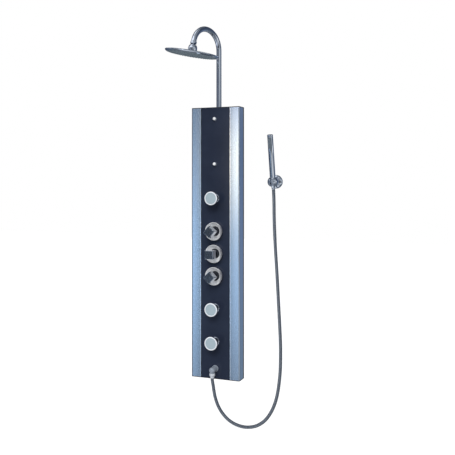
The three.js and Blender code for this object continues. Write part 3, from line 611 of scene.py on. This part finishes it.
arm_line = [Vector((0, -RISER_DEPTH * MM, panel_mid + (ARM_BOTTOM + (BEND_START - ARM_BOTTOM) * i / 12) * MM))
            for i in range(12)]
arm_line += [arm_point(BEND_TURN * i / 72) for i in range(73)]
arm = tube("arm_tube", arm_line, lambda distance, angle: RISER_RADIUS * MM, "chrome", sides=48)
soften(arm, 0.8, segments=3)
piece(arm, "arm", "shower_arm")
neck_angle = math.degrees(math.acos(4.5 / 10))
adapter = bow(0, 0, 10, -90, neck_angle, 16)
adapter += [(4.5, 13), (9, 14.4), (13.4, 15.8), (14.4, 16.1), (15, 16.8), (15, 19.6), (14.5, 20),
            (14.5, 20.6), (15, 21), (15, 25.6), (14.4, 26.4), (13.6, 26.7), (0, 26.7)]
piece(turned("arm_ball_adapter", adapter, ball_centre, arm_up, "chrome"), "arm", "arm_ball")

# ---------- Rain head ----------
bell = [(21.5, 8.3), (21.5, 10.2), (21.0, 10.7), (21.0, 11.4), (21.5, 11.9), (21.5, 20), (21.3, 22.6),
        (20.7, 25.4), (19.7, 28.2), (18.3, 31.2), (16.8, 33.8), (15.7, 35.5), (14.9, 36.2), (13.6, 36.5),
        (10.6, 36.5), (10, 36.1), (8.7, 32.8), (10.3, 28.1), (11.9, 27.5), (12.4, 22.5), (12.4, 8.3),
        (21.5, 8.3)]
piece(turned("bell", bell, rim_centre, head_axis, "chrome", sides=80), "head", "bell_nut")
HEAD_RADIUS = 127.0
r = HEAD_RADIUS
shell = [(4.5, 3.2), (4.5, 15.1), (11.6, 15.1), (12, 14.7), (12, 8.2), (22.5, 8), (23.6, 7.4), (24.8, 6.5),
         (27, 6.2), (45, 5.4), (70, 4.1), (95, 2.6), (112, 1.4), (r - 4, 0.5), (r - 1.4, -0.2),
         (r - 0.3, -1.0), (r, -2.0), (r, -3.6), (r - 0.5, -4.8), (r - 1.8, -6.2), (r - 4.6, -8.2),
         (r - 8.2, -10.3),
         (r - 9.2, -10.6), (r - 10.7, -10.6), (r - 11, -10.2), (r - 11, -8), (r - 4, -4), (r - 5, -2),
         (60, 2), (4.5, 3.2)]
dish = turned("head_dish", shell, rim_centre, head_axis, "chrome", sides=144, smooth_angle=24)
piece(dish, "head", "head_shell")
plate_r = HEAD_RADIUS - 11 - GAP
face_profile = [(0, -8.2), (plate_r, -8.2), (plate_r, -10.2), (plate_r - 0.4, -10.6), (plate_r - 4, -10.8),
                (60, -11.1), (0, -11.3)]
plate = turned("head_plate", face_profile, rim_centre, head_axis, "nozzle_plastic", sides=120)
piece(plate, "head", "head_face")
head_rings = [(8 + 12.6 * k, max(6, round(6 * (k + 0.66)))) for k in range(9)]
head_feet = ring_feet(head_rings, lambda r: 10.9, rim_centre, -head_axis)
piece(nozzle_field("head_nozzles", head_feet, -head_axis, "nozzle_plastic", 2.1, 1.4, 1.7), "head")

# ---------- Wall holder ----------
holder_spot = Vector((middle("holder_base").x, 0, middle("holder_base").z))
base = [(0, 0), (32, 0), (32, 2.2), (31.7, 3.8), (30.8, 5.6), (28.9, 7.8), (25.9, 9.9), (22, 11.6),
        (17.6, 12.9), (14.6, 13.8), (12.8, 14.9), (11.9, 16.2), (11.5, 17.8), (11.5, 20.6), (11, 21), (0, 21)]
piece(turned("holder_rose", base, holder_spot, OUT, "chrome", sides=96), "root", "holder_base")
boss = [(0, 21.3), (9.6, 21.3), (10, 21.7), (10, 33), (0, 33)]
piece(turned("holder_boss", boss, holder_spot, OUT, "chrome"), "root")


def slotted(made, origin, axis, half_width, reach=0.04):
    """Cuts a slot through the front of a piece, along its axis."""
    front = (OUT - axis * OUT.dot(axis)).normalized()
    across = axis.cross(front)
    verts = [origin + across * (u * half_width * MM) + axis * (v * reach) + front * (w * reach)
             for u in (-1, 1) for v in (-1, 1) for w in (0, 1)]
    faces = [(0, 1, 3, 2), (4, 6, 7, 5), (0, 4, 5, 1), (2, 3, 7, 6), (0, 2, 6, 4), (1, 5, 7, 3)]
    cutter = finished(made.name + "_cutter", verts, faces, "chrome")
    cut = made.modifiers.new("slot", "BOOLEAN")
    cut.object = cutter
    bpy.context.view_layer.update()
    mesh = bpy.data.meshes.new_from_object(made.evaluated_get(bpy.context.evaluated_depsgraph_get()))
    made.modifiers.clear()
    made.data = mesh
    bpy.data.objects.remove(cutter)
    return made


BALL = 25.5
SLOT_HALF = 8.8
ball = bow(0, 0, BALL, -54, 47, 28)
ring = [(9.8, -14), (9.8, -20.6), (10.3, -21.1), (14.0, -21.1)] + ball[1:-1]
ring += [(16.9, 18.9), (15.2, 18.9), (14.6, 18.4), (14.6, 16.3), (12.3, 14), (9.8, -14)]
cradle = turned("holder_fork", ring, cradle_centre, lean_axis, "chrome", sides=96)
cradle = slotted(cradle, cradle_centre, lean_axis, SLOT_HALF)
soften(cradle, 0.8, segments=3)
piece(cradle, "root", "holder_cradle")

# ---------- Hand shower ----------
cone = [(0, -36), (7.4, -36), (7.8, -35.6), (8.4, -34.4), (8.6, -30), (8.8, -26), (9.1, -24.8), (9.5, -24),
        (9.5, -14), (12, 14), (0, 14)]
piece(turned("hose_cone_nut", cone, cradle_centre, lean_axis, "chrome"), "hose_end", "hose_cone")
TOP = 221.0
STICK = 13.3  # radius of the body
stick = [(0, 14.3), (10.2, 14.3), (10.6, 14.7), (11.7, 16), (12.7, 18.6), (13.2, 21), (STICK, 23),
         (STICK, 60), (STICK, 120), (STICK, TOP - 9.0), (13.0, TOP - 8.4), (0, TOP - 8.4)]
piece(turned("handset_stick", stick, cradle_centre, lean_axis, "chrome", sides=80), "handset", "handset_body")
cap = [(0, TOP - 8), (13.0, TOP - 8), (STICK, TOP - 7.6), (STICK, TOP - 2.4)]
cap += bow(10.9, TOP - 2.4, 2.4, 0, 90, 8)[1:] + [(0, TOP)]
piece(turned("handset_top", cap, cradle_centre, lean_axis, "chrome", sides=80), "handset", "handset_cap")
face_front = (OUT - lean_axis * OUT.dot(lean_axis)).normalized()
face_across = lean_axis.cross(face_front)
feet = [cradle_centre + (face_front * 14.9 + face_across * u + lean_axis * v) * MM
        for v in range(165, 206, 5) for u in (-4.5, 0, 4.5)]
piece(nozzle_field("handset_nozzles", feet, face_front, "nozzle_plastic", 1.1, 0.8, 0.9), "handset")

# ---------- CAD nodes that keep their shape ----------
KEPT = {
    "front_plate": ("black_glass", 0.5),
    "top_cap": ("dark_plastic", 0.5), "bottom_cap": ("dark_plastic", 0.5),
    "handset_face": ("grey_plastic", 0.6),
    "wall_bracket_upper": ("zinc_steel", 0.4), "wall_bracket_lower": ("zinc_steel", 0.4),
    "crossbar_upper": ("zinc_steel", 0.4), "crossbar_lower": ("zinc_steel", 0.4),
    "plate_bracket_upper": ("zinc_steel", 0.4), "plate_bracket_lower": ("zinc_steel", 0.4),
    "mixer_manifold": ("brass", 0.6), "riser_collar": ("brass", 0.4),
    "hot_inlet": ("plated_pipe", 0.4), "cold_inlet": ("plated_pipe", 0.4),
    "riser_feed_pipe": ("plated_pipe", 0.3), "jet_pipe_upper": ("plated_pipe", 0.3),
    "jet_pipe_lower": ("plated_pipe", 0.3), "ball_seat": ("nylon", 0.0),
    **{f"cartridge_{i}": ("brass", 0.3) for i in (1, 2, 3)},
    **{f"spindle_{i}": ("zinc_steel", 0.3) for i in (1, 2, 3)},
}
for name, (slot, width) in KEPT.items():
    kept = frame["nodes"][name]
    kept.data.materials.clear()
    kept.data.materials.append(MATERIALS[slot])
    if width:
        soften(kept, width)

# ---------- Floor, world and light ----------
FLOOR_BELOW = 2.6
white = bpy.data.materials.new("floor_white")
white.use_nodes = True
tree = white.node_tree
floor_paint = tree.nodes["Principled BSDF"]
floor_paint.inputs["Base Color"].default_value = (0.3, 0.3, 0.3, 1)
floor_paint.inputs["Roughness"].default_value = 0.9
floor_path = node(tree, "ShaderNodeLightPath")
floor_seen = node(tree, "ShaderNodeMath", operation="MAXIMUM")
tree.links.new(floor_path.outputs["Is Camera Ray"], floor_seen.inputs[0])
tree.links.new(floor_path.outputs["Is Glossy Ray"], floor_seen.inputs[1])
floor_lift = node(tree, "ShaderNodeMath", operation="MULTIPLY")
floor_lift.inputs[1].default_value = 0.78
tree.links.new(floor_seen.outputs[0], floor_lift.inputs[0])
floor_paint.inputs["Emission Color"].default_value = (1, 1, 1, 1)
tree.links.new(floor_lift.outputs[0], floor_paint.inputs["Emission Strength"])
bpy.ops.mesh.primitive_plane_add(size=60, location=(0, 0, panel_mid - FLOOR_BELOW))
floor = bpy.context.object
floor.name = "floor"
floor.data.materials.append(white)

world = bpy.data.worlds.new("world")
bpy.context.scene.world = world
world.use_nodes = True
tree = world.node_tree
tree.nodes.clear()
path = node(tree, "ShaderNodeLightPath")
seen = node(tree, "ShaderNodeMath", operation="MAXIMUM")
tree.links.new(path.outputs["Is Camera Ray"], seen.inputs[0])
tree.links.new(path.outputs["Is Glossy Ray"], seen.inputs[1])
seen_through = node(tree, "ShaderNodeMath", operation="MAXIMUM")
tree.links.new(seen.outputs[0], seen_through.inputs[0])
tree.links.new(path.outputs["Is Transmission Ray"], seen_through.inputs[1])
plain = node(tree, "ShaderNodeBackground", in_Strength=0.75)
bright = node(tree, "ShaderNodeBackground", in_Strength=1.0)
plain.inputs["Color"].default_value = (0.97, 0.98, 1, 1)
bright.inputs["Color"].default_value = (1, 1, 1, 1)
either = node(tree, "ShaderNodeMixShader")
tree.links.new(seen_through.outputs[0], either.inputs[0])
tree.links.new(plain.outputs[0], either.inputs[1])
tree.links.new(bright.outputs[0], either.inputs[2])
out = node(tree, "ShaderNodeOutputWorld")
tree.links.new(either.outputs[0], out.inputs["Surface"])

key_data = bpy.data.lights.new("key", "SUN")
key_data.energy = 1.75
key_data.angle = math.radians(25)
key = bpy.data.objects.new("key", key_data)
bpy.context.scene.collection.objects.link(key)
key.rotation_euler = (math.radians(57), 0, math.radians(12))
key.visible_glossy = False

# ---------- Studio cards, seen only as reflections ----------
CARD_FAR = 5.0
CARD_LOW, CARD_HIGH = -3.1, 7.5


def soft_spot(tree, total, axes, colour):
    """Adds a soft spot of light to a colour. axes is a list of (socket, centre, spread)."""
    squares = []
    for source, centre, spread in axes:
        away = node(tree, "ShaderNodeMath", operation="SUBTRACT")
        away.inputs[1].default_value = centre
        tree.links.new(source, away.inputs[0])
        scaled = node(tree, "ShaderNodeMath", operation="DIVIDE")
        scaled.inputs[1].default_value = spread
        tree.links.new(away.outputs[0], scaled.inputs[0])
        square = node(tree, "ShaderNodeMath", operation="MULTIPLY")
        tree.links.new(scaled.outputs[0], square.inputs[0])
        tree.links.new(scaled.outputs[0], square.inputs[1])
        squares.append(square)
    both = node(tree, "ShaderNodeMath", operation="ADD")
    tree.links.new(squares[0].outputs[0], both.inputs[0])
    tree.links.new(squares[1].outputs[0], both.inputs[1])
    half = node(tree, "ShaderNodeMath", operation="MULTIPLY")
    half.inputs[1].default_value = -0.5
    tree.links.new(both.outputs[0], half.inputs[0])
    glow = node(tree, "ShaderNodeMath", operation="EXPONENT")
    tree.links.new(half.outputs[0], glow.inputs[0])
    tinted = node(tree, "ShaderNodeVectorMath", operation="SCALE")
    tinted.inputs[0].default_value = colour
    tree.links.new(glow.outputs[0], tinted.inputs["Scale"])
    summed = node(tree, "ShaderNodeVectorMath", operation="ADD")
    tree.links.new(total, summed.inputs[0])
    tree.links.new(tinted.outputs[0], summed.inputs[1])
    return summed.outputs[0]


def reflected_only(name, verts, faces):
    """A glowing mesh that only reflections see. Returns its node tree and the parts of the place on it."""
    mesh = bpy.data.meshes.new(name)
    mesh.from_pydata(verts, [], faces)
    obj = bpy.data.objects.new(name, mesh)
    bpy.context.scene.collection.objects.link(obj)
    paint = bpy.data.materials.new(name)
    paint.use_nodes = True
    mesh.materials.append(paint)
    tree = paint.node_tree
    tree.nodes.clear()
    place = node(tree, "ShaderNodeNewGeometry")
    parts = node(tree, "ShaderNodeSeparateXYZ")
    tree.links.new(place.outputs["Position"], parts.inputs[0])
    obj.visible_camera = False
    obj.visible_diffuse = False
    obj.visible_shadow = False
    obj.visible_transmission = False
    return tree, parts


def shine(tree, colour):
    emission = node(tree, "ShaderNodeEmission")
    tree.links.new(colour, emission.inputs["Color"])
    out = node(tree, "ShaderNodeOutputMaterial")
    tree.links.new(emission.outputs[0], out.inputs["Surface"])


def card(name, from_deg, to_deg, low, high, shades, spots=()):
    """An upright curved card round the column. Angles run from straight out of the wall towards +X.

    shades is a list of (height, colour).
    Each spot is (angle, height, angle spread, height spread, colour)."""
    steps = max(2, round(abs(to_deg - from_deg) / 4))
    verts, faces = [], []
    for i in range(steps + 1):
        angle = math.radians(from_deg + (to_deg - from_deg) * i / steps)
        spot = Vector((math.sin(angle), -math.cos(angle), 0)) * CARD_FAR
        verts += [spot + UP * low, spot + UP * high]
    for i in range(steps):
        faces.append([2 * i, 2 * i + 2, 2 * i + 3, 2 * i + 1])
    tree, parts = reflected_only(name, verts, faces)
    level = node(tree, "ShaderNodeMapRange")
    level.inputs["From Min"].default_value = low
    level.inputs["From Max"].default_value = high
    tree.links.new(parts.outputs["Z"], level.inputs["Value"])
    ramp = node(tree, "ShaderNodeValToRGB")
    while len(ramp.color_ramp.elements) < len(shades):
        ramp.color_ramp.elements.new(0.5)
    for element, (height, colour) in zip(ramp.color_ramp.elements, shades):
        element.position = (height - low) / (high - low)
        element.color = (*colour, 1)
    tree.links.new(level.outputs["Result"], ramp.inputs["Fac"])
    outward = node(tree, "ShaderNodeMath", operation="MULTIPLY")
    outward.inputs[1].default_value = -1.0
    tree.links.new(parts.outputs["Y"], outward.inputs[0])
    turn = node(tree, "ShaderNodeMath", operation="ARCTAN2")
    tree.links.new(parts.outputs["X"], turn.inputs[0])
    tree.links.new(outward.outputs[0], turn.inputs[1])
    total = ramp.outputs["Color"]
    for angle, height, angle_spread, height_spread, colour in spots:
        axes = [(turn.outputs[0], math.radians(angle), math.radians(angle_spread)),
                (parts.outputs["Z"], height, height_spread)]
        total = soft_spot(tree, total, axes, colour)
    shine(tree, total)


def level_card(name, height, colour, spots, half=CARD_FAR):
    """A flat square card over or under the column. Each spot is (angle, distance, spread, colour)."""
    verts = [(x * half, y * half, height) for x, y in ((-1, -1), (1, -1), (1, 1), (-1, 1))]
    tree, parts = reflected_only(name, verts, [(0, 1, 2, 3)])
    base = node(tree, "ShaderNodeRGB")
    base.outputs[0].default_value = (*colour, 1)
    total = base.outputs[0]
    for angle, distance, spread, light in spots:
        turn = math.radians(angle)
        axes = [(parts.outputs["X"], distance * math.sin(turn), spread),
                (parts.outputs["Y"], -distance * math.cos(turn), spread)]
        total = soft_spot(tree, total, axes, light)
    shine(tree, total)


card("front_card", -62, 98, CARD_LOW, CARD_HIGH, [
    (CARD_LOW, (0.03, 0.04, 0.06)), (-0.8, (0.02, 0.025, 0.035)), (1.0, (0.03, 0.035, 0.05)),
    (2.6, (0.10, 0.12, 0.15)), (4.5, (0.20, 0.23, 0.27)), (CARD_HIGH, (0.30, 0.33, 0.37)),
], [
    (-28.4, -1.2, 1.8, 1.2, (0.92, 1.30, 1.80)),
    (-16.3, -1.3, 1.8, 1.0, (0.90, 1.24, 1.70)),
    (-16.4, 0.03, 1.9, 0.45, (3.1, 2.72, 2.1)),
    (-16.4, 0.65, 1.9, 0.35, (0.05, 0.3, 0.85)),
    (58, 1.25, 26, 0.9, (0.52, 0.57, 0.62)),
    (48, -2.1, 27, 0.7, (0.74, 0.78, 0.83)),
    (88, -0.3, 8, 0.4, (1.35, 1.42, 1.5)),
    (-56, -0.4, 10, 0.4, (0.35, 0.37, 0.43)),
    (-30, 4.0, 34, 1.25, (0.85, 0.88, 0.95)),
    (-50, 6.4, 34, 1.7, (0.80, 0.84, 0.92)),
])
card("rear_flag", 98, 298, CARD_LOW, CARD_HIGH, [
    (CARD_LOW, (0.125, 0.165, 0.19)), (-1.2, (0.09, 0.12, 0.18)),
    (0.2, (0.055, 0.075, 0.12)), (CARD_HIGH, (0.05, 0.06, 0.09)),
], [
    (159, -0.6, 16, 2.5, (0.08, 0.11, 0.18)),
    (-80, 2.6, 14, 0.9, (0.80, 0.84, 0.90)),
    (169, 1.3, 5, 0.4, (0.9, 0.9, 0.9)),
])
level_card("floor_flag", panel_mid - FLOOR_BELOW + 0.01, (0.12, 0.14, 0.17), [
    (-40, 2.6, 1.3, (1.0, 1.05, 1.12)),
    (15, 3.6, 1.0, (0.50, 0.53, 0.58)),
])
level_card("ceiling_flag", CARD_HIGH, (0.10, 0.12, 0.15), [(-48, 3.0, 1.9, (1.0, 1.05, 1.12))])

scene = bpy.context.scene
scene.view_settings.view_transform = "Standard"
